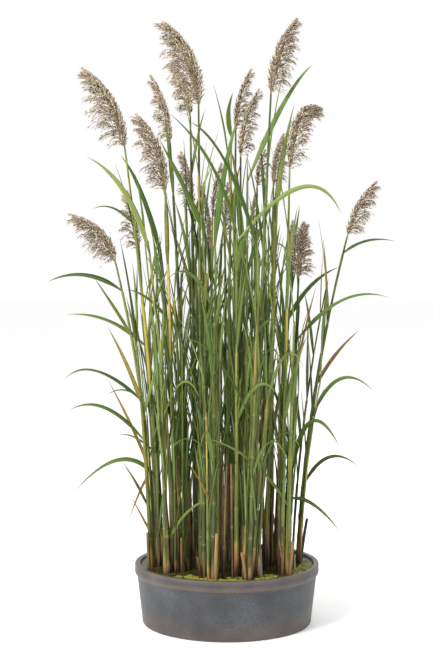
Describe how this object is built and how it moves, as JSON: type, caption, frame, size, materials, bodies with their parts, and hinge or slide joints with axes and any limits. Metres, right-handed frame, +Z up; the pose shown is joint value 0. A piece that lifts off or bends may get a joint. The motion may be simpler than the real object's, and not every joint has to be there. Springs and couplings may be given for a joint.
{
  "type": "potted reed grass",
  "caption": "Tall clump of plumed reed grass in shallow water and mud in a plain wide pot: upright culms, arching blades, one-sided nodding plumes and floating duckweed",
  "frame": {"origin": "middle of the pot's underside, on the surface that the pot stands on", "axes": "+Z up, +X the clump's right seen from the front, +Y its back"},
  "size_m": [1.1562, 0.9433, 1.992],
  "materials": {
    "pot": "matte stoneware, dark grey",
    "mud": "matte, wet pond mud",
    "water": "still dark pond water",
    "duckweed": "satin floating fronds",
    "reed": "satin living culms, sheaths and blades, dry ones orange-brown",
    "plume": "soft taupe spikelets with pale hairs"
  },
  "bodies": {
    "root": {"pot": "pot", "mud": "mud", "water": "water", "duckweed_front": "duckweed", "duckweed_right": "duckweed", "reed_01": "reed", "reed_02": "reed", "reed_03": "reed", "reed_04": "reed", "reed_05": "reed", "reed_06": "reed", "reed_07": "reed", "reed_08": "reed", "reed_09": "reed", "reed_10": "reed", "reed_11": "reed", "reed_12": "reed", "reed_13": "reed", "reed_14": "reed", "reed_15": "reed", "reed_16": "reed", "reed_17": "reed", "reed_18": "reed", "reed_19": "reed", "reed_20": "reed", "reed_21": "reed", "reed_22": "reed", "reed_23": "reed", "reed_24": "reed", "reed_25": "reed", "reed_26": "reed", "reed_27": "reed", "reed_28": "reed", "reed_29": "reed", "reed_30": "reed", "reed_31": "reed", "reed_32": "reed", "reed_33": "reed", "reed_34": "reed", "plume_01": "plume", "plume_02": "plume", "plume_03": "plume", "plume_04": "plume", "plume_05": "plume", "plume_06": "plume", "plume_07": "plume", "plume_08": "plume", "plume_09": "plume", "plume_10": "plume", "plume_11": "plume", "plume_12": "plume", "plume_13": "plume", "plume_14": "plume", "plume_15": "plume", "plume_16": "plume", "plume_17": "plume", "plume_18": "plume", "plume_19": "plume", "plume_20": "plume", "plume_21": "plume"}
  },
  "joints": []
}
